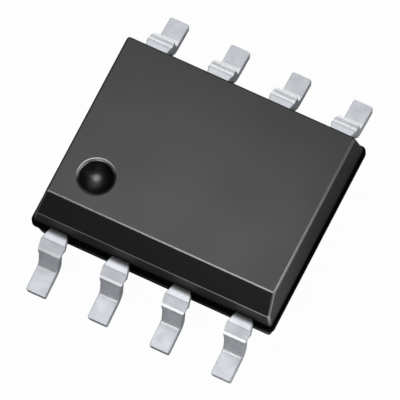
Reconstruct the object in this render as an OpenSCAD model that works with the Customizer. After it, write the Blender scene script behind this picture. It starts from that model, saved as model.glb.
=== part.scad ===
// Eight-lead small-outline integrated circuit with gull-wing leads, in millimetres.
// The origin lies on the seating plane under the middle of the body. X runs along the
// rows of leads, +Y points to the row of leads 5 to 8 and +Z points up.

/* [Moulded body] */
// Length of the body along the rows, where its walls meet the rim
body_l = 4.90; // [4.80:0.01:5.00]
// Width of the body across the rows, where its walls meet the rim
body_w = 3.90; // [3.80:0.01:4.00]
// Height of the upper half above the lead frame
top_h = 0.70; // [0.60:0.01:0.80]
// Depth of the lower half below the lead frame
base_h = 0.55; // [0.45:0.01:0.65]
// Draft of the walls, in degrees from vertical
draft = 9; // [5:0.5:12]
// How far the parting rim stands out of the walls
rim_out = 0.04; // [0.02:0.01:0.08]
// Legs of the 45 degree bevel along the pin 1 side
bevel = 0.36; // [0.25:0.01:0.45]
// Corner radius of the parting rim, seen from above
rim_r = 0.10; // [0.08:0.01:0.14]

/* [Dimple and ejector marks] */
// Diameter at which the dimple's ball would cut the top face
dimple_d = 0.73; // [0.50:0.01:0.80]
// Depth of the dimple
dimple_depth = 0.15; // [0.10:0.01:0.20]
// Radius that rounds the dimple's lip
dimple_lip_r = 0.05; // [0.02:0.01:0.06]
// Distance of the dimple's middle from the body's left end
dimple_from_end = 0.83; // [0.80:0.01:1.10]
// Distance of the dimple's middle from the body's pin 1 side
dimple_from_side = 1.04; // [1.00:0.01:1.30]
// Diameter of the ejector marks on the underside
ejector_d = 0.80; // [0.50:0.05:1.00]
// Depth of the ejector marks
ejector_depth = 0.03; // [0.02:0.01:0.05]
// Distance of each ejector mark's middle from the nearer end of the body
ejector_from_end = 1.00; // [0.80:0.05:1.50]

/* [Leads] */
// Thickness of the lead frame
lead_t = 0.20; // [0.17:0.01:0.25]
// Distance between neighbouring leads
pitch = 1.27; // [1.20:0.01:1.32]
// Distance across both rows, from tip to tip
span = 6.00; // [5.80:0.01:6.20]
// Height of the body's underside above the seating plane
standoff = 0.15; // [0.10:0.01:0.25]
// Width of a lead at its riser and foot
lead_w = 0.40; // [0.31:0.01:0.45]
// Width of a lead at its shoulder, where the dam bar was trimmed off
shoulder_w = 0.48; // [0.46:0.01:0.51]
// Straight length of the shoulder outside the rim
shoulder_l = 0.14; // [0.10:0.01:0.20]
// Length along the riser over which the shoulder's width tapers away
taper_l = 0.06; // [0.04:0.01:0.10]
// Inner radius of both bends
bend_r = 0.10; // [0.08:0.01:0.14]
// Slope of the riser, in degrees from horizontal
riser_angle = 76; // [72:1:84]
// Slope of the foot, in degrees from horizontal, with the toe lowest
foot_angle = 8; // [0:1:8]

/* [Fingers inside the body] */
// Straight run of each finger, inward from the rim's face
finger_run = 0.34; // [0.30:0.01:0.40]
// Width of a finger at its tip
finger_tip_w = 0.50; // [0.40:0.01:0.60]
// Distance between neighbouring finger tips
finger_pitch = 0.84; // [0.75:0.01:0.95]
// Gap between the finger tips and the die pad
finger_gap = 0.20; // [0.15:0.01:0.25]
// Diameter of the hole that the moulding compound grips
lock_d = 0.20; // [0.12:0.01:0.22]
// Distance of that hole's middle from the rim's face
lock_in = 0.24; // [0.20:0.01:0.26]

/* [Die pad and die] */
// Length of the die pad
pad_l = 2.50; // [2.20:0.05:2.80]
// Width of the die pad
pad_w = 1.90; // [1.70:0.05:2.00]
// How far the die pad lies below the lead frame
pad_drop = 0.15; // [0.08:0.01:0.20]
// Width of the tie bars
tie_w = 0.30; // [0.20:0.01:0.40]
// Length of the sloped part of each tie bar
tie_slope_l = 0.30; // [0.20:0.01:0.40]
// Compound left between each tie bar and the end of the body
tie_cover = 0.12; // [0.08:0.01:0.20]
// Length of the die
die_l = 1.50; // [1.20:0.05:1.90]
// Width of the die
die_w = 1.30; // [1.10:0.05:1.50]
// Thickness of the die
die_t = 0.25; // [0.18:0.01:0.30]
// Thickness of the die attach film
attach_t = 0.03; // [0.02:0.01:0.05]
// How far the film reaches past the die
attach_rim = 0.05; // [0.02:0.01:0.08]

/* [Bond wires] */
// Diameter of the wire
wire_d = 0.05; // [0.04:0.005:0.05]
// Diameter of the ball on the die
ball_d = 0.11; // [0.09:0.01:0.13]
// Height of the ball
ball_h = 0.03; // [0.02:0.005:0.04]
// Straight neck of the wire above the ball
neck_h = 0.08; // [0.06:0.01:0.10]
// Radius of the loop's bend
loop_r = 0.07; // [0.06:0.01:0.09]
// Diameter of the stitch on the finger
stitch_d = 0.16; // [0.15:0.01:0.18]
// Thickness of the stitch
stitch_h = 0.02; // [0.015:0.005:0.03]
// Distance of the stitch's middle from the finger's tip
stitch_in = 0.12; // [0.10:0.01:0.16]
// Distance of the balls from the die's long edges
ball_in = 0.09; // [0.08:0.01:0.12]
// Distance of the outer balls from the die's ends
ball_from_end = 0.18; // [0.12:0.01:0.25]

/* [Hidden] */
$fn = 96;
leads_per_row = 4;
lead_count = 2 * leads_per_row;
gaps_per_row = leads_per_row - 1;

// Length that a cutter runs on past the face it opens
cut_past = 0.1;

// Levels above the seating plane
frame_bottom_z = standoff + base_h;
frame_top_z = frame_bottom_z + lead_t;
body_top_z = frame_top_z + top_h;
pad_bottom_z = frame_bottom_z - pad_drop;
pad_top_z = pad_bottom_z + lead_t;
die_bottom_z = pad_top_z + attach_t;
die_top_z = die_bottom_z + die_t;

// Moulded walls
lean = tan(draft);
rim_side_y = body_w / 2 + rim_out;

// The dimple is a ball that dips into the top face, with a rounded lip around it
dimple_ball_r = (pow(dimple_d / 2, 2) + pow(dimple_depth, 2)) / (2 * dimple_depth);
ball_to_lip = dimple_ball_r - dimple_depth + dimple_lip_r;
lip_ring_r = sqrt(pow(dimple_ball_r + dimple_lip_r, 2) - pow(ball_to_lip, 2));
lip_h = dimple_lip_r - dimple_lip_r * ball_to_lip / (dimple_ball_r + dimple_lip_r);

// The riser and the foot take the lengths that bring the toe to the seating plane and to the span
outer_bend_r = bend_r + lead_t;
drop_left = frame_top_z - lead_t * cos(foot_angle)
    - outer_bend_r * (1 - cos(riser_angle))
    - bend_r * (cos(foot_angle) - cos(riser_angle));
reach_left = span / 2 - rim_side_y - shoulder_l
    - outer_bend_r * sin(riser_angle)
    - bend_r * (sin(riser_angle) - sin(foot_angle));
turn_back = riser_angle - foot_angle;
riser_l = (drop_left * cos(foot_angle) - reach_left * sin(foot_angle)) / sin(turn_back);
foot_l = (reach_left * sin(riser_angle) - drop_left * cos(riser_angle)) / sin(turn_back);

// Fingers and bond wires
finger_tip_y = pad_w / 2 + finger_gap;
finger_knee_y = rim_side_y - finger_run;
stitch_y = finger_tip_y + stitch_in;
ball_y = die_w / 2 - ball_in;
ball_pitch = (die_l - 2 * ball_from_end) / gaps_per_row;
die_above_finger = die_top_z - frame_top_z;
neck_top = die_above_finger + ball_h + neck_h;

// Leads are counted anticlockwise seen from above, from the left end of the front row
function in_back_row(n) = n > leads_per_row;
function slot(n) = in_back_row(n) ? lead_count - n : n - 1;
function slot_x(n, step) = (slot(n) - gaps_per_row / 2) * step;

function to_hundredth(value) = round(100 * value) / 100;

// What is modelled for the front row is mirrored for the back row
module on_row(n) {
    if (in_back_row(n)) mirror([0, 1, 0]) children();
    else children();
}

// Prisms with the outline in the YZ plane and in the XZ plane
module along_x(length) {
    rotate([90, 0, 90]) linear_extrude(length, center = true) children();
}

module along_y(length) {
    rotate([90, 0, 0]) linear_extrude(length, center = true) children();
}

// Outline whose sides lean in by the draft as it rises: half is its half width at the bottom
module drafted_outline(half, h) {
    polygon([[-half, 0], [half, 0], [half - h * lean, h], [h * lean - half, h]]);
}

// Upper half, with the bevel along the pin 1 side
module upper_half() {
    side_at_bevel = body_w / 2 - (top_h - bevel) * lean;
    side_at_top = body_w / 2 - top_h * lean;
    translate([0, 0, frame_top_z]) intersection() {
        along_y(body_w) drafted_outline(body_l / 2, top_h);
        along_x(body_l) polygon([
            [-body_w / 2, 0],
            [body_w / 2, 0],
            [side_at_top, top_h],
            [bevel - side_at_bevel, top_h],
            [-side_at_bevel, top_h - bevel]
        ]);
    }
}

// Rim that the mould leaves round the lead frame's own thickness
module parting_rim() {
    rim_l = body_l + 2 * rim_out;
    rim_w = body_w + 2 * rim_out;
    translate([0, 0, frame_bottom_z]) {
        along_x(rim_l - 2 * rim_r) translate([-rim_w / 2, 0]) square([rim_w, lead_t]);
        along_y(rim_w - 2 * rim_r) translate([-rim_l / 2, 0]) square([rim_l, lead_t]);
        for (x = [-1, 1], y = [-1, 1])
            translate([x * (rim_l / 2 - rim_r), y * (rim_w / 2 - rim_r), 0]) cylinder(h = lead_t, r = rim_r);
    }
}

// Lower half, which narrows downward
module lower_half() {
    translate([0, 0, frame_bottom_z]) mirror([0, 0, 1]) intersection() {
        along_y(body_w) drafted_outline(body_l / 2, base_h);
        along_x(body_l) drafted_outline(body_w / 2, base_h);
    }
}

// Cutter for the dimple: the ball, and the space inside the rounded lip
module dimple_cut() {
    translate([dimple_from_end - body_l / 2, dimple_from_side - body_w / 2, body_top_z]) {
        translate([0, 0, dimple_ball_r - dimple_depth]) sphere(r = dimple_ball_r);
        difference() {
            translate([0, 0, -lip_h]) cylinder(h = lip_h + cut_past, r = lip_ring_r);
            translate([0, 0, -dimple_lip_r])
                rotate_extrude() translate([lip_ring_r, 0]) circle(r = dimple_lip_r);
        }
    }
}

module ejector_cuts() {
    for (side = [-1, 1])
        translate([side * (body_l / 2 - ejector_from_end), 0, standoff - cut_past])
            cylinder(h = ejector_depth + cut_past, d = ejector_d);
}

// Strip metal is laid out end to end: X runs along the strip, whose top face is at Y = 0,
// and Z runs across its width. Each piece carries its children on from its far end.
module strip(length, width) {
    translate([0, -lead_t, -width / 2]) cube([length, lead_t, width]);
    translate([length, 0, 0]) children();
}

module strip_taper(length, from_w, to_w) {
    rotate([90, 0, 0]) linear_extrude(lead_t)
        polygon([[0, -from_w / 2], [length, -to_w / 2], [length, to_w / 2], [0, from_w / 2]]);
    translate([length, 0, 0]) children();
}

module strip_arc(angle, width) {
    rotate_extrude(angle = angle) translate([bend_r, -width / 2]) square([lead_t, width]);
}

module bend_down(angle, width) {
    translate([0, -outer_bend_r, 0]) {
        rotate([0, 0, 90 - angle]) strip_arc(angle, width);
        rotate([0, 0, -angle]) translate([0, outer_bend_r, 0]) children();
    }
}

module bend_up(angle, width) {
    translate([0, bend_r, 0]) {
        rotate([0, 0, -90]) strip_arc(angle, width);
        rotate([0, 0, angle]) translate([0, -bend_r, 0]) children();
    }
}

// Gull wing outside the rim: shoulder, bend, riser, bend and foot
module gull_wing() {
    strip(shoulder_l, shoulder_w)
    bend_down(riser_angle, shoulder_w)
    strip_taper(taper_l, shoulder_w, lead_w)
    strip(riser_l - taper_l, lead_w)
    bend_up(turn_back, lead_w)
    strip(foot_l, lead_w);
}

// Finger inside the body, seen from above: a straight run, then a slant to its place at the die pad
module finger(exit_x, tip_x) {
    half = shoulder_w / 2;
    tip_half = finger_tip_w / 2;
    translate([0, 0, frame_bottom_z]) difference() {
        linear_extrude(lead_t) polygon([
            [exit_x - half, -rim_side_y],
            [exit_x + half, -rim_side_y],
            [exit_x + half, -finger_knee_y],
            [tip_x + tip_half, -finger_tip_y],
            [tip_x - tip_half, -finger_tip_y],
            [exit_x - half, -finger_knee_y]
        ]);
        translate([exit_x, lock_in - rim_side_y, -cut_past])
            cylinder(h = lead_t + 2 * cut_past, d = lock_d);
    }
}

module lead(n) {
    exit_x = slot_x(n, pitch);
    color("#c6c9cf") on_row(n) union() {
        finger(exit_x, slot_x(n, finger_pitch));
        translate([exit_x, -rim_side_y, frame_top_z]) rotate([90, 0, -90]) gull_wing();
    }
}

// Die pad, set down below the frame, with a tie bar rising to frame level at each end
module die_pad() {
    slope_start = pad_l / 2;
    slope_end = slope_start + tie_slope_l;
    bar_end = body_l / 2 - tie_cover;
    color("#c08552") {
        translate([-pad_l / 2, -pad_w / 2, pad_bottom_z]) cube([pad_l, pad_w, lead_t]);
        for (side = [0, 1])
            mirror([side, 0, 0]) along_y(tie_w) polygon([
                [0, pad_bottom_z],
                [slope_start, pad_bottom_z],
                [slope_end, frame_bottom_z],
                [bar_end, frame_bottom_z],
                [bar_end, frame_top_z],
                [slope_end, frame_top_z],
                [slope_start, pad_top_z],
                [0, pad_top_z]
            ]);
    }
}

module die_attach() {
    film_l = die_l + 2 * attach_rim;
    film_w = die_w + 2 * attach_rim;
    color("#8f9092") translate([-film_l / 2, -film_w / 2, pad_top_z]) cube([film_l, film_w, attach_t]);
}

module die() {
    color("#5d6675") translate([-die_l / 2, -die_w / 2, die_bottom_z]) cube([die_l, die_w, die_t]);
}

// Wire in its own upright plane, with X toward the stitch and Z up from the finger's top face:
// the ball, the neck, the bend over the top, and the straight run down to the stitch
module wire_path(reach) {
    middle_to_end = norm([reach - loop_r, neck_top]);
    turn = to_hundredth(90 + atan(neck_top / (reach - loop_r)) + asin(loop_r / middle_to_end));
    run = sqrt(pow(middle_to_end, 2) - pow(loop_r, 2));
    translate([0, 0, die_above_finger]) {
        cylinder(h = ball_h, d = ball_d);
        cylinder(h = ball_h + neck_h, d = wire_d);
    }
    difference() {
        translate([loop_r, 0, neck_top]) mirror([1, 0, 0]) rotate([90, 0, 0]) {
            rotate_extrude(angle = turn) translate([loop_r, 0]) circle(d = wire_d);
            rotate([0, 0, turn]) translate([loop_r, 0, 0])
                rotate([-90, 0, 0]) cylinder(h = run + stitch_d / 2, d = wire_d);
        }
        translate([reach - stitch_d, -stitch_d, -stitch_d]) cube([2 * stitch_d, 2 * stitch_d, stitch_d]);
    }
    translate([reach, 0, 0]) cylinder(h = stitch_h, d = stitch_d);
}

module bond_wire(n) {
    start_x = slot_x(n, ball_pitch);
    step_x = slot_x(n, finger_pitch) - start_x;
    step_y = ball_y - stitch_y;
    color("#d8b04a") on_row(n) translate([start_x, -ball_y, frame_top_z])
        rotate([0, 0, atan2(step_y, step_x)]) wire_path(norm([step_x, step_y]));
}

// Moulded body, filled round everything that it holds
module body() {
    color("#2a2b2d") difference() {
        union() {
            upper_half();
            parting_rim();
            lower_half();
        }
        dimple_cut();
        ejector_cuts();
        die_pad();
        die_attach();
        die();
        for (n = [1 : lead_count]) {
            lead(n);
            bond_wire(n);
        }
    }
}

body();
die_pad();
die_attach();
die();
for (n = [1 : lead_count]) {
    lead(n);
    bond_wire(n);
}
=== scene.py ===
# %% [markdown]
# # Small-outline chip with eight gull-wing leads
# The real object is a slip of black moulded epoxy, about five millimetres long, with four tinned
# leads bent down along each side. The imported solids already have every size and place, so this
# lesson loads them as a fixed frame and dresses them: it models the leads and the moulded body
# again with the small radii that catch light, and gives each finish its own nodes.

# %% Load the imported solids
from math import atan, cos, degrees, pi, radians, sin, sqrt, tan

import bmesh
import bpy
from mathutils import Matrix, Vector


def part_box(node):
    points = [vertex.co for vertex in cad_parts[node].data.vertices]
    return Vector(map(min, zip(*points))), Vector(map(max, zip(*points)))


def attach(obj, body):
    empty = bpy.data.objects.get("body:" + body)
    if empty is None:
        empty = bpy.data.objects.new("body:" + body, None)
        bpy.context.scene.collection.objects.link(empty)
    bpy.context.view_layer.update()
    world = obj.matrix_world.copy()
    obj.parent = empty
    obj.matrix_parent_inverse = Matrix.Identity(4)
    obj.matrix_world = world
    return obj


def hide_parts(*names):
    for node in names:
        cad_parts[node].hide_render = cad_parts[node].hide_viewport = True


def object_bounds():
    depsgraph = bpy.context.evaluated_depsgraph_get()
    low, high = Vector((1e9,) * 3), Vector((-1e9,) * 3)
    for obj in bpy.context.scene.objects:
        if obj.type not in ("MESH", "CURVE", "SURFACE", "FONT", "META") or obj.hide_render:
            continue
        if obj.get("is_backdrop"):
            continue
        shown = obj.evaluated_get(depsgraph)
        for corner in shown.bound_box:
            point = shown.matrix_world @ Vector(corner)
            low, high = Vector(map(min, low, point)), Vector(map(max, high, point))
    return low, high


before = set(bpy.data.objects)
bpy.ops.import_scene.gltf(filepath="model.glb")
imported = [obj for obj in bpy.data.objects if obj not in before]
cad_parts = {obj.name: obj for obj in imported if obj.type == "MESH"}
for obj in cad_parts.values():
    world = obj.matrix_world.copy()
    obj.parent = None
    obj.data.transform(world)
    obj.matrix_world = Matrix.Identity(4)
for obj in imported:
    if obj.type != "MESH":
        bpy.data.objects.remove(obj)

solid_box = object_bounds()
print("Solids loaded:", ", ".join(sorted(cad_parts)))

# %% [markdown]
# The chip is tiny, and Blender's merge and cut distances are made for things near a metre. So each
# piece is modelled with one Blender unit to the millimetre, and is shrunk a thousandfold as its
# last step. The sizes below are read off the solids where they can be, and the rest repeat them.

# %% Sizes in millimetres
MM = 0.001
STRIP_T = 0.20


def span_of(node):
    """Lowest and highest corner of a solid, in millimetres."""
    low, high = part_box(node)
    return Vector(low) / MM, Vector(high) / MM


body_low, body_high = span_of("body")
lead_low, lead_high = span_of("lead_1")
RIM_X = body_high.x
RIM_Y = body_high.y
TOE_Y = -lead_low.y
STANDOFF = body_low.z
TOP = body_high.z
FRAME_TOP = lead_high.z
FRAME_BOTTOM = FRAME_TOP - STRIP_T
print("Rim %.2f x %.2f, body from %.2f to %.2f, frame top at %.2f"
      % (2 * RIM_X, 2 * RIM_Y, STANDOFF, TOP, FRAME_TOP))

# %% [markdown]
# ## Camera
# The picture was taken from far away with a long lens, from the front right and well above. The
# angles, distance and lens were fitted to the edges of the body and leads. A camera looks along
# its own minus Z, so its axes are built from the direction back to it and then rolled.

# %% Camera
AZIMUTH, ELEVATION, ROLL = 31.732, 69.044, -5.679
AIM = Vector((0.140, -0.234, 0.803)) * MM
DISTANCE = 169.5 * MM
SENSOR_W = 36
FOCAL_LENGTH = 827.9


def direction(azimuth, elevation):
    """A unit vector from two angles in degrees: round from the front by the right, and up."""
    turned, raised = radians(azimuth), radians(elevation)
    return Vector((sin(turned) * cos(raised), -cos(turned) * cos(raised), sin(raised)))


backward = direction(AZIMUTH, ELEVATION)
level_right = Vector((cos(radians(AZIMUTH)), sin(radians(AZIMUTH)), 0))
level_up = backward.cross(level_right)
right = level_right * cos(radians(ROLL)) + level_up * sin(radians(ROLL))
up = level_up * cos(radians(ROLL)) - level_right * sin(radians(ROLL))

camera_data = bpy.data.cameras.new("camera")
camera_data.sensor_width = SENSOR_W
camera_data.lens = FOCAL_LENGTH
camera_data.clip_start, camera_data.clip_end = 0.01, 10
camera = bpy.data.objects.new("camera", camera_data)
axes = Matrix((right, up, backward)).transposed().to_4x4()
camera.matrix_world = Matrix.Translation(AIM + backward * DISTANCE) @ axes
bpy.context.scene.collection.objects.link(camera)
bpy.context.scene.camera = camera
print("Field of view %.3f degrees" % degrees(camera_data.angle))

# %% [markdown]
# ## Small tools for edit mode
# Every operator acts on what is selected, so each step first clears the selection, then picks
# faces or edges in code by where they lie and which way they face.

# %% Select and edit
def clear_selection():
    bpy.ops.object.select_all(action="DESELECT")


def choose(piece):
    clear_selection()
    piece.select_set(True)
    bpy.context.view_layer.objects.active = piece


def start_editing(piece):
    choose(piece)
    bpy.ops.object.mode_set(mode="EDIT")
    bpy.ops.mesh.select_all(action="DESELECT")


def stop_editing():
    bpy.ops.object.mode_set(mode="OBJECT")


def pick_all():
    bpy.ops.mesh.select_all(action="SELECT")


def pick_faces(piece, wanted):
    """Selects the faces for which wanted(centre, normal) holds, and no others."""
    bpy.ops.mesh.select_mode(type="FACE")
    bpy.ops.mesh.select_all(action="DESELECT")
    mesh = bmesh.from_edit_mesh(piece.data)
    for face in mesh.faces:
        face.select_set(wanted(face.calc_center_median(), face.normal))
    bmesh.update_edit_mesh(piece.data)
    return sum(face.select for face in mesh.faces)


def pick_edges(piece, wanted):
    """Selects the edges for which wanted(edge) holds, and no others."""
    bpy.ops.mesh.select_mode(type="EDGE")
    bpy.ops.mesh.select_all(action="DESELECT")
    mesh = bmesh.from_edit_mesh(piece.data)
    for edge in mesh.edges:
        edge.select_set(wanted(edge))
    bmesh.update_edit_mesh(piece.data)
    return sum(edge.select for edge in mesh.edges)


# %% Move, turn outward, finish
def extrude(move):
    bpy.ops.mesh.extrude_region_move(TRANSFORM_OT_translate={"value": tuple(move)})


def resize(scale, centre):
    bpy.ops.transform.resize(value=tuple(scale), center_override=tuple(centre))


def face_outward():
    bpy.ops.mesh.normals_make_consistent(inside=False)


def give_finish(piece, slot):
    """Gives the picked faces the finish in that slot."""
    piece.active_material_index = slot
    bpy.ops.object.material_slot_assign()


def apply_place():
    """Writes the chosen object's place, turn and size into its mesh."""
    bpy.ops.object.transform_apply(location=True, rotation=True, scale=True)


def apply_modifier(piece, modifier):
    choose(piece)
    bpy.ops.object.modifier_apply(modifier=modifier.name)


# %% [markdown]
# ## Finishes
# Every finish is made of nodes, and these helpers place them: each adds a node, links or sets its
# inputs, and returns what the next one needs. All patterns start from Object coordinates turned
# into millimetres, so that they stay on the piece and their scales can be read as sizes.

# %% Node tools
def add_node(tree, kind, inputs=None, **settings):
    """A node with its settings made, and its inputs either set or linked."""
    node = tree.nodes.new("ShaderNode" + kind)
    for setting, value in settings.items():
        setattr(node, setting, value)
    for socket, value in (inputs or {}).items():
        if isinstance(value, bpy.types.NodeSocket):
            tree.links.new(value, node.inputs[socket])
        else:
            node.inputs[socket].default_value = value
    return node


def calculate(tree, operation, *values):
    """The result of one Math node."""
    return add_node(tree, "Math", dict(enumerate(values)), operation=operation).outputs[0]


def fade(tree, value, start, stop, low=0, high=1, **settings):
    """A value that runs from low to high as another runs from start to stop."""
    return add_node(tree, "MapRange", {
        "Value": value, "From Min": start, "From Max": stop, "To Min": low, "To Max": high},
        **settings).outputs["Result"]


def between(tree, mask, low, high):
    """A value that runs from low to high as the mask runs from 0 to 1."""
    return fade(tree, mask, 0, 1, low, high)


def mix_colours(tree, mask, first, second):
    """A colour between two, each given as three numbers or as a socket.

    The Mix node has a set of sockets for each kind of data: 6, 7 and output 2 are its colours.
    """
    first, second = (
        end if isinstance(end, bpy.types.NodeSocket) else (*end, 1) for end in (first, second))
    return add_node(tree, "Mix", {0: mask, 6: first, 7: second}, data_type="RGBA").outputs[2]


# %% Places and directions
def millimetres(tree):
    place = add_node(tree, "TexCoord").outputs["Object"]
    return add_node(tree, "VectorMath", {0: place, "Scale": 1 / MM}, operation="SCALE").outputs[0]


def object_normal(tree):
    return add_node(tree, "TexCoord").outputs["Normal"]


def reach_along(tree, vector, way):
    """How far a vector reaches in one direction."""
    node = add_node(tree, "VectorMath", {0: vector, 1: way}, operation="DOT_PRODUCT")
    return node.outputs["Value"]


# %% [markdown]
# Two effects are used by several finishes, so each is a node group, built once and given its own
# values in each material. The first is grain: the print of a spark-eroded mould, or the crystals
# of a plating, with slow clouds and a few bright specks over it. An image would do, but would
# stretch at the bends; noise does not.

# %% Start a group
def start_group(name, inputs, outputs):
    """An empty group with float inputs, given with their defaults, and float outputs."""
    tree = bpy.data.node_groups.new(name, "ShaderNodeTree")
    for socket, value in inputs.items():
        made = tree.interface.new_socket(
            name=socket, in_out="INPUT", socket_type="NodeSocketFloat")
        made.default_value = value
    for socket in outputs:
        tree.interface.new_socket(name=socket, in_out="OUTPUT", socket_type="NodeSocketFloat")
    return tree, tree.nodes.new("NodeGroupInput"), tree.nodes.new("NodeGroupOutput")


# %% Group: grain
THIN_CLOUD, THICK_CLOUD = 0.35, 0.65
SPECK_EDGE, SPECK_CORE = 0.45, 0.15

grain_group, given, result = start_group(
    "grain", {"Grains per mm": 25, "Clouds per mm": 1, "Speck share": 0.1},
    ["Height", "Cloud", "Speck"])
place = millimetres(grain_group)
grains_per_mm = given.outputs["Grains per mm"]
fine = add_node(grain_group, "TexNoise", {
    "Vector": place, "Scale": grains_per_mm, "Detail": 3, "Roughness": 0.6})
slow = add_node(grain_group, "TexNoise", {
    "Vector": place, "Scale": given.outputs["Clouds per mm"], "Detail": 2})
cloud = fade(grain_group, slow.outputs[0], THIN_CLOUD, THICK_CLOUD)
cells = add_node(grain_group, "TexVoronoi", {"Vector": place, "Scale": grains_per_mm})
dot = fade(grain_group, cells.outputs["Distance"], SPECK_EDGE, SPECK_CORE)
chosen = calculate(
    grain_group, "LESS_THAN", cells.outputs["Color"], given.outputs["Speck share"])
speck = calculate(grain_group, "MULTIPLY", dot, chosen)
for socket, value in {"Height": fine.outputs[0], "Cloud": cloud, "Speck": speck}.items():
    grain_group.links.new(value, result.inputs[socket])
print("Group:", grain_group.name, "with", len(grain_group.nodes), "nodes")

# %% [markdown]
# The second is tool lines: rolling leaves faint lines along a strip, and a press tool leaves
# short lines through its thickness. Noise is squeezed by a different amount along each axis, so
# it draws out into lines along the axis that is squeezed least.

# %% Group: tool lines
lines_group, given, result = start_group(
    "tool_lines", {"Across X": 40, "Across Y": 2, "Across Z": 40}, ["Line"])
squeeze = add_node(lines_group, "CombineXYZ", {
    axis: given.outputs["Across " + axis] for axis in "XYZ"})
drawn = add_node(lines_group, "VectorMath", {
    0: millimetres(lines_group), 1: squeeze.outputs[0]}, operation="MULTIPLY")
line = add_node(lines_group, "TexNoise", {"Vector": drawn.outputs[0], "Scale": 1, "Detail": 2})
lines_group.links.new(line.outputs[0], result.inputs["Line"])
print("Group:", lines_group.name, "with", len(lines_group.nodes), "nodes")

# %% [markdown]
# Each finish is a material of its own. The groups that it needs are placed in it with its own
# values, and a Bump node turns their height into relief, whose depth is given as it would be
# measured.

# %% Start a finish
def start_finish(name):
    material = bpy.data.materials.new(name)
    material.use_nodes = True
    return material, material.node_tree, material.node_tree.nodes["Principled BSDF"]


def place_group(tree, group, **values):
    """A node for the group, with its name and the given values."""
    node = add_node(tree, "Group", node_tree=group, name=group.name)
    for socket, value in values.items():
        node.inputs[socket.replace("_", " ")].default_value = value
    return node.outputs


def roughen(tree, shader, height, depth):
    """Bump from a height, with the depth in millimetres."""
    bump = add_node(tree, "Bump", {"Height": height, "Strength": 1, "Distance": depth * MM})
    tree.links.new(bump.outputs[0], shader.inputs["Normal"])


# %% [markdown]
# ### Moulding compound
# Black epoxy filled with fused silica. The mould's faces are spark eroded, so the walls are matt,
# and the odd grain of filler shows paler. The same finish is made four times: matt for the faces,
# dull and darker for the rim as painted shade, darker and barely reflecting under a polish for the
# dimple's bowl and the ejector marks, which paints shade in the bowl, and with a coat that paints
# a highlight along the edges.

# %% Compound
BLUE_TINT = 1.04
ROUGHNESS_DRIFT = 0.012


def near_black(level):
    return level, level, level * BLUE_TINT


def make_compound(name, roughness, depth, shine, dark, pale):
    material, tree, shader = start_finish(name)
    grain = place_group(tree, grain_group, Grains_per_mm=28, Clouds_per_mm=0.8, Speck_share=0.12)
    colour = mix_colours(tree, grain["Speck"], near_black(dark), near_black(pale))
    tree.links.new(colour, shader.inputs["Base Color"])
    rough = between(
        tree, grain["Cloud"], roughness - ROUGHNESS_DRIFT, roughness + ROUGHNESS_DRIFT)
    tree.links.new(rough, shader.inputs["Roughness"])
    shader.inputs["IOR"].default_value = shine
    roughen(tree, shader, grain["Height"], depth)
    return material


matt_compound = make_compound(
    "matt_compound", roughness=0.42, depth=0.0012, shine=1.45, dark=0.004, pale=0.013)
# Painted shade: a darker, barely reflecting base that keeps the dimple's bowl black.
polished_shaded_compound = make_compound(
    "polished_shaded_compound", roughness=0.45, depth=0.0002, shine=1.2, dark=0.002, pale=0.003)
# Painted highlight: the matt base, whose coat below lights up the edges that face the lamps.
polished_edge_highlight = make_compound(
    "polished_edge_highlight", roughness=0.42, depth=0.0012, shine=1.45, dark=0.004, pale=0.013)
# Painted shade: a darker, duller copy of the compound for the rim.
shaded_rim = make_compound(
    "shaded_rim", roughness=0.60, depth=0.0030, shine=1.05, dark=0.002, pale=0.006)
compounds = [matt_compound, polished_shaded_compound, polished_edge_highlight, shaded_rim]
MATT, POLISHED_SHADED, EDGE_HIGHLIGHT, SHADED_RIM = range(len(compounds))
print("Compound:", ", ".join(finish.name for finish in compounds))

# %% [markdown]
# A polish is a coat whose weight comes from a mask, so it can fade where a second material would
# end in a line. In the dimple the mask is the distance from the bottom of the bowl, where the pin
# was best finished. On the edges the coat is a painted highlight: its mask is the way they face
# and how near and high they lie, so it is strongest on the near and right edges, toward the lamps,
# and fades toward the back and down toward the rim.

# %% Polish
DIMPLE_CENTRE = (-1.62, -0.91)
DIMPLE_DEPTH = 0.15
POLISH_NONE_R, POLISH_FULL_R = 0.24, 0.08
LIT_SIDE = (0.53, -0.85, 0)
TURNED_TO_SIDE = 0.12
FAR_EDGE, NEAR_EDGE = -1, 2.4
LOW_Z, HIGH_Z = FRAME_TOP + 0.05, 1.2
FAR_SHARE, LOW_SHARE, PATCH_SHARE = 0.6, 0.1, 0.9


def bowl_mask(tree):
    """1 at the bottom of the dimple, fading to 0 up its wall."""
    bottom = (*DIMPLE_CENTRE, TOP - DIMPLE_DEPTH)
    away = add_node(tree, "VectorMath", {0: millimetres(tree), 1: bottom}, operation="DISTANCE")
    return fade(tree, away.outputs["Value"], POLISH_NONE_R, POLISH_FULL_R)


def edge_highlight_mask(tree):
    """Painted highlight: near 1 on what faces the lit side, and less on what lies far from it or
    low down.
    """
    place = millimetres(tree)
    turned = reach_along(tree, object_normal(tree), LIT_SIDE)
    facing = fade(tree, turned, 0, TURNED_TO_SIDE, interpolation_type="SMOOTHSTEP")
    near = fade(tree, reach_along(tree, place, LIT_SIDE), FAR_EDGE, NEAR_EDGE, FAR_SHARE)
    height = add_node(tree, "SeparateXYZ", {0: place}).outputs["Z"]
    high = fade(tree, height, LOW_Z, HIGH_Z, LOW_SHARE)
    patchy = between(tree, tree.nodes[grain_group.name].outputs["Cloud"], PATCH_SHARE, 1)
    lit_patches = calculate(tree, "MULTIPLY", facing, patchy)
    lit_reach = calculate(tree, "MULTIPLY", near, high)
    return calculate(tree, "MULTIPLY", lit_patches, lit_reach)


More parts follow.
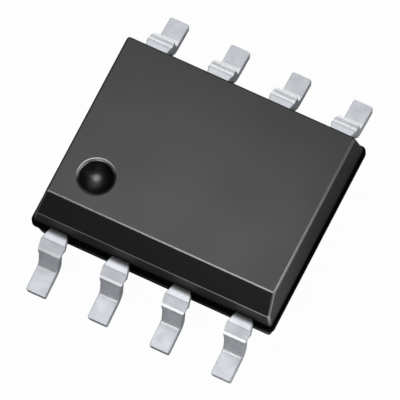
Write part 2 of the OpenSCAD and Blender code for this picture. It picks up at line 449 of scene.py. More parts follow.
def add_coat(material, mask, roughness, shine):
    tree = material.node_tree
    shader = tree.nodes["Principled BSDF"]
    tree.links.new(mask(tree), shader.inputs["Coat Weight"])
    shader.inputs["Coat Roughness"].default_value = roughness
    shader.inputs["Coat IOR"].default_value = shine
    print("Coat on", material.name)


add_coat(polished_shaded_compound, bowl_mask, roughness=0.27, shine=1.5)
# On the edges the coat is a painted highlight.
add_coat(polished_edge_highlight, edge_highlight_mask, roughness=0.36, shine=3.9)

# %% [markdown]
# ### Tin plate
# Matt tin is a fine grey-white crystal layer on the copper strip. Its crystals scatter light
# almost as a matt paint does, so the finish is only partly metallic. Rolling lines run along the
# strip, and the sides, which the press sheared, have short lines through the thickness instead.
# The tin is painted dark and not metallic where it leaves the body, as painted shade cast by the
# body, and along a fine line on the first bend of the near row, as painted shade in that crease.
# A second, paler tin that is closer to bare metal is a painted highlight, laid on the strips where
# the bends and heels should shine.

# %% Lines and painted shade on the tin
FLAT_Y = RIM_Y + 0.18
SHADE_START_Y, SHADE_FULL_Y = RIM_Y + 0.10, RIM_Y - 0.01
CREASE_SHADE_OUT, CREASE_SHADE_IN = 0.014, 0.004
CREASE_SHADE_WEIGHT = 0.3
SIDE_FROM, SIDE_TO = 0.6, 0.9


def plating_lines(tree):
    """Rolling lines on the faces of the strip, and shear lines on its sides.

    Sockets 2 and 3 of a Mix node are its plain numbers.
    """
    rolled = place_group(tree, lines_group, Across_X=45, Across_Y=3, Across_Z=3)
    sheared = place_group(tree, lines_group, Across_X=3, Across_Y=70, Across_Z=4)
    facing = add_node(tree, "SeparateXYZ", {0: object_normal(tree)}).outputs["X"]
    on_side = fade(tree, calculate(tree, "ABSOLUTE", facing), SIDE_FROM, SIDE_TO)
    return add_node(
        tree, "Mix", {0: on_side, 2: rolled["Line"], 3: sheared["Line"]},
        data_type="FLOAT").outputs[0]


def painted_shade_mask(tree):
    """Painted shade next to the body, and in the crease of the first bend of the near row."""
    y = add_node(tree, "SeparateXYZ", {0: millimetres(tree)}).outputs["Y"]
    from_middle = calculate(tree, "ABSOLUTE", y)
    # Painted shade cast by the body on the strip where it leaves.
    body_shade = fade(tree, from_middle, SHADE_START_Y, SHADE_FULL_Y, interpolation_type="SMOOTHSTEP")
    # Painted shade along the crease of the first bend of the near row.
    off_crease = calculate(tree, "ABSOLUTE", calculate(tree, "ADD", y, FLAT_Y))
    crease_shade = fade(tree, off_crease, CREASE_SHADE_OUT, CREASE_SHADE_IN, 0, CREASE_SHADE_WEIGHT)
    return calculate(tree, "MAXIMUM", body_shade, crease_shade)


# %% Tin
# The colour of the painted shade on the tin.
PAINTED_SHADE_COLOUR = (0.03, 0.03, 0.032)


def make_tin(name, dull, bright, rough, metallic, depth):
    material, tree, shader = start_finish(name)
    grain = place_group(tree, grain_group, Grains_per_mm=45, Clouds_per_mm=4, Speck_share=0.10)
    lines = plating_lines(tree)
    painted_shade = painted_shade_mask(tree)
    plated = mix_colours(tree, grain["Cloud"], dull, bright)
    # The painted shade darkens the plating here and takes away its metal below.
    tree.links.new(mix_colours(tree, painted_shade, plated, PAINTED_SHADE_COLOUR), shader.inputs["Base Color"])
    tree.links.new(between(tree, lines, *rough), shader.inputs["Roughness"])
    tree.links.new(between(tree, painted_shade, metallic, 0), shader.inputs["Metallic"])
    roughen(tree, shader, calculate(tree, "ADD", grain["Height"], lines), depth)
    return material


tins = [
    make_tin("matt_tin", dull=(0.66, 0.695, 0.745), bright=(0.78, 0.81, 0.86),
             rough=(0.34, 0.50), metallic=0.15, depth=0.0012),
    # Painted highlight: a paler, shinier copy of the tin.
    make_tin("painted_highlight_tin", dull=(0.88, 0.89, 0.91), bright=(0.93, 0.94, 0.95),
             rough=(0.32, 0.40), metallic=0.6, depth=0.0002),
]
HIGHLIGHT_TIN = 1
print("Tin:", ", ".join(finish.name for finish in tins))

# %% [markdown]
# ### Inside the moulding
# These pieces are buried, and keep their solids. Each still gets its own finish: the rolled
# copper of the paddle, epoxy filled with silver flake, polished silicon, and drawn gold wire.

# %% Buried finishes
def make_buried(name, node_names, colours, rough, metallic, group, mask, depth, **values):
    material, tree, shader = start_finish(name)
    effect = place_group(tree, group, **values)
    tree.links.new(mix_colours(tree, effect[mask], *colours), shader.inputs["Base Color"])
    tree.links.new(between(tree, effect[mask], *rough), shader.inputs["Roughness"])
    shader.inputs["Metallic"].default_value = metallic
    roughen(tree, shader, effect[mask], depth)
    for node_name in node_names:
        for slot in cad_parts[node_name].material_slots:
            slot.material = material
    print(name, "on", len(node_names), "solid(s)")


make_buried(
    "rolled_copper", ["die_pad"], colours=[(0.62, 0.34, 0.20), (0.76, 0.47, 0.31)],
    rough=(0.28, 0.42), metallic=1, group=lines_group, mask="Line", depth=0.001,
    Across_X=2, Across_Y=40, Across_Z=40)
make_buried(
    "silver_flake_epoxy", ["die_attach"], colours=[(0.34, 0.34, 0.34), (0.66, 0.66, 0.65)],
    rough=(0.55, 0.35), metallic=0.3, group=grain_group, mask="Speck", depth=0.002,
    Grains_per_mm=60, Speck_share=0.5)
make_buried(
    "polished_silicon", ["die"], colours=[(0.13, 0.15, 0.19), (0.20, 0.21, 0.25)],
    rough=(0.10, 0.18), metallic=0.4, group=grain_group, mask="Cloud", depth=0.0002,
    Clouds_per_mm=3)
make_buried(
    "drawn_gold", ["bond_wire_%d" % number for number in range(1, 9)],
    colours=[(0.80, 0.56, 0.20), (0.90, 0.68, 0.32)],
    rough=(0.16, 0.28), metallic=1, group=grain_group, mask="Height", depth=0.0005,
    Grains_per_mm=80)

# %% [markdown]
# ## One lead
# A lead is blanked from 0.20 mm copper strip with a press tool, plated with tin, and bent twice
# after moulding: down from the shoulder, then out again into the foot. A curve with a bevel could
# give the bends, but not the step from the wide shoulder to the narrow foot. So the strip's end
# is drawn as one face, and extruded and spun along its path, exactly as the metal runs. It leaves
# the body narrow, and flares to the stub of the bar that tied the leads together in the mould.

# %% Strip section
FINGER_TIP_W = 0.50
EXIT_W = 0.40
SHOULDER_W = 0.50
BEND_W = 0.445
LEAD_W = 0.40
ROLLED_EDGE = 0.03
FRAME_MIDDLE = FRAME_TOP - STRIP_T / 2


def strip_end(name, x, y, width):
    """The strip's end face, upright and facing along Y, with its four corners rounded."""
    clear_selection()
    middle = (x, y, FRAME_MIDDLE)
    bpy.ops.mesh.primitive_plane_add(size=1, location=middle, rotation=(radians(90), 0, 0))
    piece = bpy.context.object
    piece.name = piece.data.name = name
    for finish in tins:
        piece.data.materials.append(finish)
    apply_place()
    start_editing(piece)
    pick_all()
    resize((width, 1, STRIP_T), middle)
    bpy.ops.mesh.bevel(offset=ROLLED_EDGE, segments=3, affect="VERTICES")
    pick_all()
    return piece


print("Strip %.2f thick, from %.2f wide at the finger to %.2f at the foot"
      % (STRIP_T, FINGER_TIP_W, LEAD_W))

# %% [markdown]
# Spin turns the end face about the strip's own bend centre, which lies below the strip for the
# first bend and above it for the second. It goes one small step at a time, so that the strip can
# narrow as it turns. With no window it turns the other way, so its angle is negative.

# %% Bend the strip
BEND_STEPS = 12


def bend_strip(centre_x, corner, normal, radius, angle, widths=(1, 1)):
    """Spins the end face about an X axis that lies radius away from the strip's top face."""
    centre = corner + normal * radius
    axis_point = (centre_x, centre.y, centre.z)
    for step in range(BEND_STEPS):
        bpy.ops.mesh.spin(steps=1, angle=-angle / BEND_STEPS, center=axis_point, axis=(1, 0, 0))
        before, after = (
            widths[0] + (widths[1] - widths[0]) * part / BEND_STEPS for part in (step, step + 1))
        resize((after / before, 1, 1), (centre_x, 0, 0))
    turned = Matrix.Rotation(angle, 3, "X")
    return centre + turned @ (corner - centre)


# %% [markdown]
# The forming tool presses a flat across the outside of the first bend, so that bend is spun tight
# and then cut by one bisect, and the two lines of the flat are rounded a little. The lower strip
# of that flat and the heel take the paler tin as a painted highlight.

# %% Press the flat
FLAT_ANGLE = radians(30)
FLAT_EDGE = 0.012
HIGHLIGHT_W = 0.045
# The heel's faces lie below its top, and look upward and outward by these shares.
HEEL_TOP = 0.45
HEEL_UP = 0.3
HEEL_OUT_FROM, HEEL_OUT_TO = 0.17, 0.9
# How near a corner lies to a plane that it is on, and how nearly two directions agree.
TOUCHING = 1e-4
ALIGNED = 0.999


def press_flat():
    """Cuts the flat across the outside of the bend, rounds its lines, paints a highlight on it."""
    upper_edge = Vector((0, -FLAT_Y, FRAME_TOP))
    normal = Vector((0, -sin(FLAT_ANGLE), cos(FLAT_ANGLE)))
    pick_all()
    bpy.ops.mesh.bisect(
        plane_co=upper_edge, plane_no=normal, use_fill=True, clear_outer=True)

    def on_flat(corner):
        return abs(normal.dot(corner.co - upper_edge)) < TOUCHING

    def is_line_of_flat(edge):
        first, last = edge.verts
        return on_flat(first) and on_flat(last) and abs(first.co.x - last.co.x) > LEAD_W / 2

    lead = bpy.context.object
    pick_edges(lead, is_line_of_flat)
    bpy.ops.mesh.bevel(offset=FLAT_EDGE, segments=3, affect="EDGES", clamp_overlap=True)

    mesh = bmesh.from_edit_mesh(lead.data)
    lower_z = min(corner.co.z for corner in mesh.verts if on_flat(corner))
    highlight_z = lower_z + HIGHLIGHT_W * sin(FLAT_ANGLE)
    pick_faces(lead, lambda centre, facing: facing.dot(normal) > ALIGNED)
    bpy.ops.mesh.bisect(plane_co=(0, 0, highlight_z), plane_no=(0, 0, 1))

    def is_highlight(centre, facing):
        on_strip = facing.dot(normal) > ALIGNED and centre.z < highlight_z
        turns_out = HEEL_OUT_FROM < -facing.y < HEEL_OUT_TO and facing.z > HEEL_UP
        return on_strip or (turns_out and centre.z < HEEL_TOP)

    # These faces take the paler tin as a painted highlight.
    print("Rubbed faces:", pick_faces(lead, is_highlight))
    give_finish(lead, HIGHLIGHT_TIN)


# %% [markdown]
# The foot has to land on the board at its toe, whatever the angles are. So the lengths of the
# three straight runs aren't typed in: they are what the two bends leave over.

# %% Straight runs
CORNER_Y = RIM_Y + 0.384
BEND_R = 0.02
HEEL_R = 0.07
RISER_ANGLE = radians(80)
FOOT_ANGLE = radians(8)


def strip_way(angle):
    """The direction in which the strip runs where it slopes down by an angle."""
    return Vector((0, -cos(angle), -sin(angle)))


def run_lengths():
    """Distance to the shoulder's end, and the lengths of riser and foot."""
    slope, lean = tan(FOOT_ANGLE), 1 / tan(RISER_ANGLE)
    toe_z = STRIP_T * cos(FOOT_ANGLE)
    heel_y = CORNER_Y + lean * (FRAME_TOP - toe_z - TOE_Y * slope)
    heel_y = heel_y / (1 - lean * slope)
    heel_z = toe_z + (TOE_Y - heel_y) * slope
    at_corner = (STRIP_T + BEND_R) * tan(RISER_ANGLE / 2)
    at_heel = HEEL_R * tan((RISER_ANGLE - FOOT_ANGLE) / 2)
    riser = (FRAME_TOP - heel_z) / sin(RISER_ANGLE) - at_corner - at_heel
    return CORNER_Y - at_corner, riser, (TOE_Y - heel_y) / cos(FOOT_ANGLE) - at_heel


shoulder_end, riser_length, foot_length = run_lengths()
print("Shoulder ends at %.3f, riser %.3f, foot %.3f" % (shoulder_end, riser_length, foot_length))

# %% [markdown]
# The path is followed from the inner end outward. Inside the body the finger slants across to its
# place by the die. Outside come the shoulder, the bend down, the short taper, the riser, the bend
# back and the foot, whose toe is lowest and has rounded corners.

# %% Follow the strip
FINGER_TIP_Y = 1.15
FINGER_KNEE_Y = 1.65
TAPER = 0.12
TOE_R = 0.03


def model_lead(name, exit_x, tip_x):
    lead = strip_end(name, tip_x, -FINGER_TIP_Y, FINGER_TIP_W)
    extrude((exit_x - tip_x, FINGER_TIP_Y - FINGER_KNEE_Y, 0))
    resize((EXIT_W / FINGER_TIP_W, 1, 1), (exit_x, 0, 0))
    extrude((0, FINGER_KNEE_Y - RIM_Y, 0))
    extrude((0, RIM_Y - shoulder_end, 0))
    resize((SHOULDER_W / EXIT_W, 1, 1), (exit_x, 0, 0))

    corner = Vector((exit_x, -shoulder_end, FRAME_TOP))
    corner = bend_strip(
        exit_x, corner, Vector((0, 0, -1)), STRIP_T + BEND_R, RISER_ANGLE, (SHOULDER_W, BEND_W))
    down = strip_way(RISER_ANGLE)
    extrude(down * TAPER)
    resize((LEAD_W / BEND_W, 1, 1), (exit_x, 0, 0))
    extrude(down * (riser_length - TAPER))

    corner = corner + down * riser_length
    outward = Vector((0, -sin(RISER_ANGLE), cos(RISER_ANGLE)))
    corner = bend_strip(exit_x, corner, outward, HEEL_R, FOOT_ANGLE - RISER_ANGLE)
    along = strip_way(FOOT_ANGLE)
    extrude(along * (foot_length - TOE_R))
    width = LEAD_W
    # The toe's two corners are rounded in three steps, from straight on to square.
    for start, stop in ((0, 30), (30, 60), (60, 90)):
        extrude(along * TOE_R * (sin(radians(stop)) - sin(radians(start))))
        narrowed = LEAD_W - 2 * TOE_R * (1 - cos(radians(stop)))
        resize((narrowed / width, 1, 1), (exit_x, 0, 0))
        width = narrowed
    corner = corner + along * foot_length
    press_flat()
    print("%s: top edge of the toe at y %.3f, z %.3f" % (name, corner.y, corner.z))
    return lead


# %% [markdown]
# The press shears the toe off last, so its end face is square with a hair of a break round it. A
# round hole through the finger lets the moulding compound lock it in. Normals are recalculated
# because a spin can leave some faces looking inwards.

# %% Toe and locking hole
LOCK_D = 0.20
LOCK_IN = 0.24
TOE_BREAK = 0.008
MERGE = 1e-5


def cut_away(piece, cutter, keep_cutter=False):
    """Takes the cutter's shape out of the piece."""
    cut = piece.modifiers.new("cut", "BOOLEAN")
    cut.operation = "DIFFERENCE"
    cut.solver = "EXACT"
    cut.object = cutter
    apply_modifier(piece, cut)
    if not keep_cutter:
        bpy.data.objects.remove(cutter)


def finish_lead(lead, exit_x):
    pick_all()
    bpy.ops.mesh.remove_doubles(threshold=MERGE)
    pick_all()
    face_outward()
    pick_faces(lead, lambda centre, normal: normal.dot(strip_way(FOOT_ANGLE)) > ALIGNED)
    bpy.ops.mesh.region_to_loop()
    bpy.ops.mesh.bevel(offset=TOE_BREAK, segments=2, affect="EDGES")
    stop_editing()
    clear_selection()
    bpy.ops.mesh.primitive_cylinder_add(
        vertices=32, radius=LOCK_D / 2, depth=3 * STRIP_T,
        location=(exit_x, LOCK_IN - RIM_Y, FRAME_MIDDLE))
    cut_away(lead, bpy.context.object)
    return lead


# %% Outer and inner lead
ROW = 4
PITCH = 1.27
FINGER_PITCH = 0.84


def place_in_row(number, step):
    """Where a lead of the front row lies along X."""
    return (number - (ROW + 1) / 2) * step


leads = {}
for number in (1, 2):
    exit_x = place_in_row(number, PITCH)
    lead = model_lead("lead_%d_plated" % number, exit_x, place_in_row(number, FINGER_PITCH))
    leads[number] = finish_lead(lead, exit_x)

# %% [markdown]
# The frame is the same on both sides of its two centre lines, so the outer and the inner lead are
# each copied three times, with a mesh of their own. A copy that is mirrored once is inside out and
# has its normals turned back. The far row takes the paler tin of the painted highlight in other
# places: a strip along the middle of the flat, and another where the foot begins.

# %% Painted highlight strips of the far row
FACING_UP = 0.8
# The faces that a strip is cut from reach this far before and past it.
IN_REACH, OUT_REACH = 0.3, 0.8
FLAT_HIGHLIGHT = (0.045, 0.09)
FOOT_HIGHLIGHT = (-0.03, 0.06)
foot_start = TOE_Y - foot_length * cos(FOOT_ANGLE)
far_strips = [
    (origin + start, origin + stop)
    for origin, (start, stop) in ((FLAT_Y, FLAT_HIGHLIGHT), (foot_start, FOOT_HIGHLIGHT))]


def highlight_strip(lead, start, stop):
    """Cuts a strip across the lead's top between two distances and paints a highlight on it."""
    def on_top(centre, facing):
        return facing.z > FACING_UP and start - IN_REACH < centre.y < stop + OUT_REACH

    for cut in (start, stop):
        pick_faces(lead, on_top)
        bpy.ops.mesh.bisect(plane_co=(0, cut, 0), plane_no=(0, 1, 0))
    pick_faces(lead, lambda centre, facing: facing.z > FACING_UP and start < centre.y < stop)
    # The strip takes the paler tin as a painted highlight.
    give_finish(lead, HIGHLIGHT_TIN)


# %% Copy the leads round the frame
def copy_lead(source, number, flip_x, flip_y):
    choose(leads[source])
    bpy.ops.object.duplicate(linked=False)
    lead = bpy.context.object
    lead.name = lead.data.name = "lead_%d_plated" % number
    start_editing(lead)
    pick_all()
    resize((flip_x, flip_y, 1), (0, 0, 0))
    if flip_x != flip_y:
        face_outward()
    if flip_y < 0:
        for start, stop in far_strips:
            highlight_strip(lead, start, stop)
    stop_editing()
    leads[number] = lead


for source, number, flip_x, flip_y in [
    (2, 3, -1, 1), (1, 4, -1, 1), (1, 5, -1, -1), (2, 6, -1, -1), (2, 7, 1, -1), (1, 8, 1, -1),
]:
    copy_lead(source, number, flip_x, flip_y)
print("Leads:", len(leads), "with", len(leads[1].data.polygons), "faces in front and",
      len(leads[8].data.polygons), "behind")

# %% [markdown]
# ## Moulded body
# The body is one piece of epoxy, pressed round the lead frame between two steel mould halves. The
# rim is the strip of compound that fills the frame's own thickness, and both halves lean in from
# it so that they leave the mould. It starts as the rim, and each half is inset and extruded from
# it with a smaller end face. One bisect then takes off the long bevel along the pin 1 side.

# %% Rim and two drafted halves
RIM_R = 0.10
RIM_OUT = 0.04
DRAFT_ANGLE = radians(9)
LEAN = tan(DRAFT_ANGLE)

clear_selection()
bpy.ops.mesh.primitive_cube_add(
    size=1, location=(0, 0, FRAME_MIDDLE), scale=(2 * RIM_X, 2 * RIM_Y, STRIP_T))
body = bpy.context.object
body.name = body.data.name = "moulded_body"
apply_place()
for finish in compounds:
    body.data.materials.append(finish)


def is_upright(edge):
    first, last = (corner.co for corner in edge.verts)
    return abs(first.z - last.z) > STRIP_T - TOUCHING


def draw_half(way, height):
    """Insets one face of the rim and extrudes it into a half of the body that leans inward."""
    pick_faces(body, lambda centre, normal: normal.z * way > ALIGNED)
    bpy.ops.mesh.inset(thickness=RIM_OUT, use_even_offset=True)
    extrude((0, 0, way * height))
    near_x, near_y = RIM_X - RIM_OUT, RIM_Y - RIM_OUT
    resize((1 - height * LEAN / near_x, 1 - height * LEAN / near_y, 1), (0, 0, 0))


start_editing(body)
pick_edges(body, is_upright)
bpy.ops.mesh.bevel(offset=RIM_R, segments=6, affect="EDGES")
draw_half(1, TOP - FRAME_TOP)
draw_half(-1, FRAME_BOTTOM - STANDOFF)
print("Halves %.2f and %.2f high" % (TOP - FRAME_TOP, FRAME_BOTTOM - STANDOFF))

# %% Long bevel
BEVEL = 0.36

side_at_bevel = RIM_Y - RIM_OUT - (TOP - FRAME_TOP - BEVEL) * LEAN
pick_all()
bpy.ops.mesh.bisect(
    plane_co=(0, -side_at_bevel, TOP - BEVEL), plane_no=(0, -1, 1),
    use_fill=True, clear_outer=True)
stop_editing()
print("Bevel runs from y %.3f, z %.2f" % (-side_at_bevel, TOP - BEVEL))

# %% [markdown]
# No moulded edge is sharp: the cutters that make the mould leave a small radius, and its faces
# take the edge finish, whose coat paints a highlight along the edges that face the lamps. A bevel
# set back by radius x tan(half the angle between the faces) gives every edge the same radius, so
# each edge gets its own weight, and one Bevel modifier rounds them all.

# %% Round the moulded edges
EDGE_R = 0.04
PARTING_R = 0.02
SETBACK = 0.05
SHARP = radians(25)
RIM_SLACK = 0.01


def radius_here(edge):
    middle = (edge.verts[0].co + edge.verts[1].co) / 2
    on_rim = FRAME_BOTTOM - RIM_SLACK < middle.z < FRAME_TOP + RIM_SLACK
    return PARTING_R if on_rim else EDGE_R


mesh = bmesh.new()
mesh.from_mesh(body.data)
weight = mesh.edges.layers.float.new("bevel_weight_edge")
for edge in mesh.edges:
    bend = edge.calc_face_angle_signed(0)
    if bend > SHARP:
        edge[weight] = radius_here(edge) * tan(bend / 2) / SETBACK
mesh.to_mesh(body.data)
mesh.free()

rounding = body.modifiers.new("edge_radius", "BEVEL")
rounding.limit_method = "WEIGHT"
rounding.width = SETBACK
rounding.segments = 4
# The rounded faces take the edge finish, whose coat is a painted highlight.
rounding.material = EDGE_HIGHLIGHT
rounding.use_clamp_overlap = False
apply_modifier(body, rounding)
print("Body faces:", len(body.data.polygons))

# %% [markdown]
# ## Dimple and ejector marks
# The dimple that marks pin 1 is the print of a polished ball-nosed pin in the mould, and two flat
# pins that push the moulding out leave round marks underneath. Each is cut with a tool of the
# pin's own shape: a disc, extruded ring by ring to the next radius and depth of the profile.

# %% Turned cutters
def turned_cutter(centre, rings, polished_r):
    """A solid of revolution about the vertical: rings lists (radius, z) from open to closed end.

    Faces within polished_r of the axis take the darker polished finish that paints shade, and
    the rest take the edge finish, whose coat paints a highlight.
    """
    clear_selection()
    (radius, z), rest = rings[0], rings[1:]
    bpy.ops.mesh.primitive_circle_add(
        vertices=96, radius=radius, fill_type="NGON", location=(*centre, z))
    cutter = bpy.context.object
    apply_place()
    start_editing(cutter)
    pick_all()
    for next_r, next_z in rest:
        extrude((0, 0, next_z - z))
        resize((next_r / radius, next_r / radius, 1), (*centre, 0))
        radius, z = next_r, next_z
    pick_all()
    face_outward()
    stop_editing()
    for finish in compounds:
        cutter.data.materials.append(finish)
    axis = Vector((*centre, 0))
    for face in cutter.data.polygons:
        outward = face.center - axis
        face.material_index = POLISHED_SHADED if outward.xy.length < polished_r else EDGE_HIGHLIGHT
    return cutter


# %% [markdown]
# The ball meets the top in a lip of its own radius. The profile comes in over the lip from the
# open side and then follows the ball down to its lowest point.

# %% Dimple
DIMPLE_R = 0.35
LIP_R = 0.10
LIP_STEPS = 8
LIP_END = radians(80)
BALL_STEPS = 24
MOUTH_OUT, MOUTH_UP = 0.11, 0.02

ball_r = (DIMPLE_R ** 2 + DIMPLE_DEPTH ** 2) / (2 * DIMPLE_DEPTH)
ball_up = ball_r - DIMPLE_DEPTH
lip_ring = sqrt((ball_r + LIP_R) ** 2 - (ball_up + LIP_R) ** 2)
lip_angle = atan((ball_up + LIP_R) / lip_ring)

rings = [(lip_ring + MOUTH_OUT, TOP + MOUTH_UP)]
for step in range(LIP_STEPS + 1):
    turn = lip_angle + (LIP_END - lip_angle) * (LIP_STEPS - step) / LIP_STEPS
    rings.append((lip_ring - LIP_R * cos(turn), TOP - LIP_R + LIP_R * sin(turn)))
for step in range(1, BALL_STEPS):
    turn = lip_angle + (radians(90) - lip_angle) * step / BALL_STEPS
    rings.append((ball_r * cos(turn), TOP + ball_up - ball_r * sin(turn)))
cut_away(body, turned_cutter(DIMPLE_CENTRE, rings, ball_r * cos(lip_angle)))
print("Dimple ball radius %.3f, lip ring radius %.3f" % (ball_r, lip_ring))

# %% [markdown]
# The rim, where the two halves of the mould meet, takes a dull, nearly black copy of the compound
# as painted shade. The upright corners were rounded with the rim, before the other edges had a
# radius, so they are picked here by the way they face and take the edge finish with its painted
# highlight. The lower half stays matt.

# %% Finish of the rim and the upright corners
PAST_RIM = 0.02
TURNED_OFF = 0.2
NEARLY_UPRIGHT = 0.3

for face in body.data.polygons:
    out_x, out_y, out_z = (abs(share) for share in face.normal)
    on_corner = min(out_x, out_y) > TURNED_OFF and out_z < NEARLY_UPRIGHT
    if face.center.z < FRAME_TOP + PAST_RIM:
        on_rim = face.center.z > FRAME_BOTTOM - PAST_RIM
        face.material_index = SHADED_RIM if on_rim else MATT
    elif on_corner and face.material_index == MATT:
        face.material_index = EDGE_HIGHLIGHT
print("Faces of each finish:", {
    finish.name: sum(face.material_index == slot for face in body.data.polygons)
    for slot, finish in enumerate(compounds)})

# %% [markdown]
# The two ejector pins stand a hair proud of the mould, on its long axis and clear of the leads.
# So their marks are shallow and sunk, and end in a small radius round a flat floor.

# %% Ejector marks
EJECTOR_X = 1.45
EJECTOR_R = 0.40
EJECTOR_DEPTH = 0.03
EJECTOR_OUT, EJECTOR_UP = 0.04, 0.06
EJECTOR_LIP = 0.004
FLOOR_TURN = 0.006
FLOOR_IN = 0.02

rings = [
    (EJECTOR_R + EJECTOR_OUT, STANDOFF - EJECTOR_UP),
    (EJECTOR_R, STANDOFF + EJECTOR_LIP),
    (EJECTOR_R - FLOOR_TURN, STANDOFF + EJECTOR_DEPTH - FLOOR_TURN),
    (EJECTOR_R - FLOOR_IN, STANDOFF + EJECTOR_DEPTH),
]
for side in (-1, 1):
    cut_away(body, turned_cutter((side * EJECTOR_X, 0), rings, EJECTOR_R))
print("Ejector marks %.2f across, %.1f apart" % (2 * EJECTOR_R, 2 * EJECTOR_X))

# %% [markdown]
# ## Slots for the leads
# The compound flows round the strip, so the slot in the rim has exactly the lead's shape. The
# leads themselves are the cutters.

# %% Cut the slots
for number in sorted(leads):
    cut_away(body, leads[number], keep_cutter=True)
print("Body faces with its slots:", len(body.data.polygons))

# %% [markdown]
# Smooth shading would bend the light near an edge across a whole broad face. Weighted normals keep
# the broad faces flat and leave the turn to the small faces of the radius. Only then is each piece
# shrunk to its real size, with that size written into its mesh.

# %% Smooth and shrink
BODY_SMOOTH = 35
LEAD_SMOOTH = 25
BROAD_FACE_WEIGHT = 80


def smooth(piece, angle):
    """Smooth shading up to an angle in degrees, with broad faces kept flat."""
    choose(piece)
    bpy.ops.object.shade_smooth_by_angle(angle=radians(angle))
    weighting = piece.modifiers.new("weighting", "WEIGHTED_NORMAL")
    weighting.keep_sharp = True
    weighting.weight = BROAD_FACE_WEIGHT
    apply_modifier(piece, weighting)


def shrink(piece):
    """Brings a piece from millimetre units to its real size."""
    choose(piece)
    piece.scale = (MM, MM, MM)
    apply_place()


smooth(body, BODY_SMOOTH)
for lead in leads.values():
    smooth(lead, LEAD_SMOOTH)
for piece in [body, *leads.values()]:
    shrink(piece)
print("Body triangles:", sum(len(face.vertices) - 2 for face in body.data.polygons))

# %% [markdown]
# ## Floor and light
# The chip stands on a sheet of white paper. The floor is a plain pale sheet that takes its shadow
# and gives back soft light, and the Light Path node makes it white to the camera. In reflections
# it carries a painted glow, which is none round the chip, as painted shadow, and grows toward the
# front right, as painted light, so the walls shade from black at the back to dark grey at the
# front.

# %% Floor
FLOOR_W = 0.6
PAPER_GREY = 0.27
WHITE_SEEN = 0.98
LIT_WAY = (1, -0.6, 0)
LIT_FROM, LIT_TO = 2.9, 5.5
WHITE_MIRRORED = 0.9

clear_selection()
bpy.ops.mesh.primitive_plane_add(size=FLOOR_W, location=(0, 0, 0))
floor = bpy.context.object
floor.name = floor.data.name = "floor"
paper, tree, shader = start_finish("floor_paper")
shader.inputs["Base Color"].default_value = (PAPER_GREY, PAPER_GREY, PAPER_GREY, 1)
shader.inputs["Roughness"].default_value = 0.9
shader.inputs["Specular IOR Level"].default_value = 0
path = add_node(tree, "LightPath").outputs
seen = calculate(tree, "MULTIPLY", path["Is Camera Ray"], WHITE_SEEN)
mirrored = calculate(tree, "ADD", path["Is Glossy Ray"], path["Is Transmission Ray"])
# Painted glow in reflections: none round the chip, as painted shadow, more toward the front right.
toward_light = reach_along(tree, millimetres(tree), LIT_WAY)
reflected_glow_share = fade(tree, toward_light, LIT_FROM, LIT_TO, 0, WHITE_MIRRORED)
share = calculate(tree, "MULTIPLY_ADD", mirrored, reflected_glow_share, seen)
white = add_node(tree, "Emission", {"Strength": 1})
mixer = add_node(tree, "MixShader", {0: share, 1: shader.outputs[0], 2: white.outputs[0]})
tree.links.new(mixer.outputs[0], tree.nodes["Material Output"].inputs["Surface"])
floor.data.materials.append(paper)
floor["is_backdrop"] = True
print("Floor: %s, %.1f m wide" % (floor.name, floor.dimensions.x))

# %% [markdown]
# The room beyond the paper is dim to the chip, so that black faces stay black, and white to the
# camera, so that the paper has no edge.

# %% World
ROOM_GLOW = 0.09

world = bpy.data.worlds.new("studio")
bpy.context.scene.world = world
world.use_nodes = True
backdrop = world.node_tree.nodes["Background"]
backdrop.inputs["Color"].default_value = (1, 1, 1, 1)
path = add_node(world.node_tree, "LightPath").outputs
strength = between(world.node_tree, path["Is Camera Ray"], ROOM_GLOW, 1)
world.node_tree.links.new(strength, backdrop.inputs["Strength"])
print("World:", world.name)

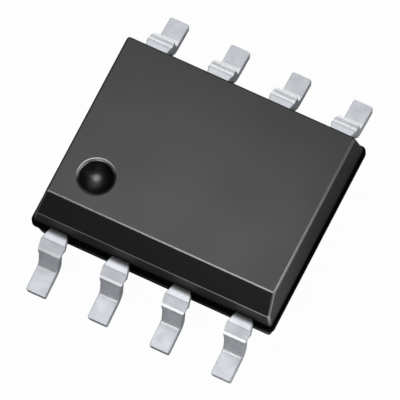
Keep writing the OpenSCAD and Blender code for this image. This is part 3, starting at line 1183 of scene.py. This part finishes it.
# %% [markdown]
# A smooth face shows a lamp only in its mirror direction, so each lamp is placed for the faces
# that it has to light. The key lies where the bowl of the dimple reflects it from the middle. The
# lamps in front and at the right light the near edges and the sides of the leads, the two behind
# light the far row, and a small near one brightens the front corner.

# %% Lamps
def softbox(name, over, toward, distance, radius, glow):
    """A round area lamp, placed by the way it lies from a point of the top.

    Places are in millimetres, and toward holds the two angles of direction. The radius is the
    angle of its half width as it looks from there, and glow is how bright its face looks, where
    1 is white paper.
    """
    data = bpy.data.lights.new(name, "AREA")
    data.shape = "DISK"
    data.size = 2 * distance * tan(radians(radius)) * MM
    # A face gives off pi times its brightness from each part of its area.
    data.energy = glow * pi * pi * data.size * data.size / 4
    lamp = bpy.data.objects.new(name, data)
    out = direction(*toward)
    lamp.location = (Vector((*over, TOP)) + out * distance) * MM
    lamp.rotation_euler = out.to_track_quat("Z", "Y").to_euler()
    bpy.context.scene.collection.objects.link(lamp)
    return lamp


lamps = [
    softbox("key", DIMPLE_CENTRE, (216, 77), distance=18, radius=15, glow=6.5),
    softbox("front_overhead", (2.2, -1.6), (345, 46), distance=15, radius=13, glow=3.0),
    softbox("back_overhead", (0, 0), (199, 44), distance=60, radius=24, glow=0.8),
    softbox("back_low", (0, 0), (191, 12), distance=60, radius=9, glow=2.2),
    softbox("right_overhead", (2.4, -1.8), (125, 60), distance=8, radius=11, glow=3.6),
    softbox("right_low", (0, 0), (75, 18), distance=25, radius=18, glow=1.9),
    softbox("corner_glow", (2.5, -1.2), (212, 69), distance=9, radius=7, glow=3.0),
]
print("Lamps:", ", ".join(lamp.name for lamp in lamps))

# %% [markdown]
# ## Hand the pieces over
# Nothing on a chip moves, so every piece rides on the one body. Each new piece takes the place of
# the solid that it dresses, and the buried pieces keep the solids. The size of the dressed chip is
# written beside that of the solids, so that the two can be compared.

# %% Hand the pieces over
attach(body, "root")
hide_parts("body")
for number, lead in leads.items():
    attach(lead, "root")
    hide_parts("lead_%d" % number)

bpy.context.scene.view_settings.view_transform = "Standard"
dressed_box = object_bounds()
for name, box in {"Solids": solid_box, "Dressed": dressed_box}.items():
    print(name, "from and to:", [[round(place / MM, 3) for place in corner] for corner in box])
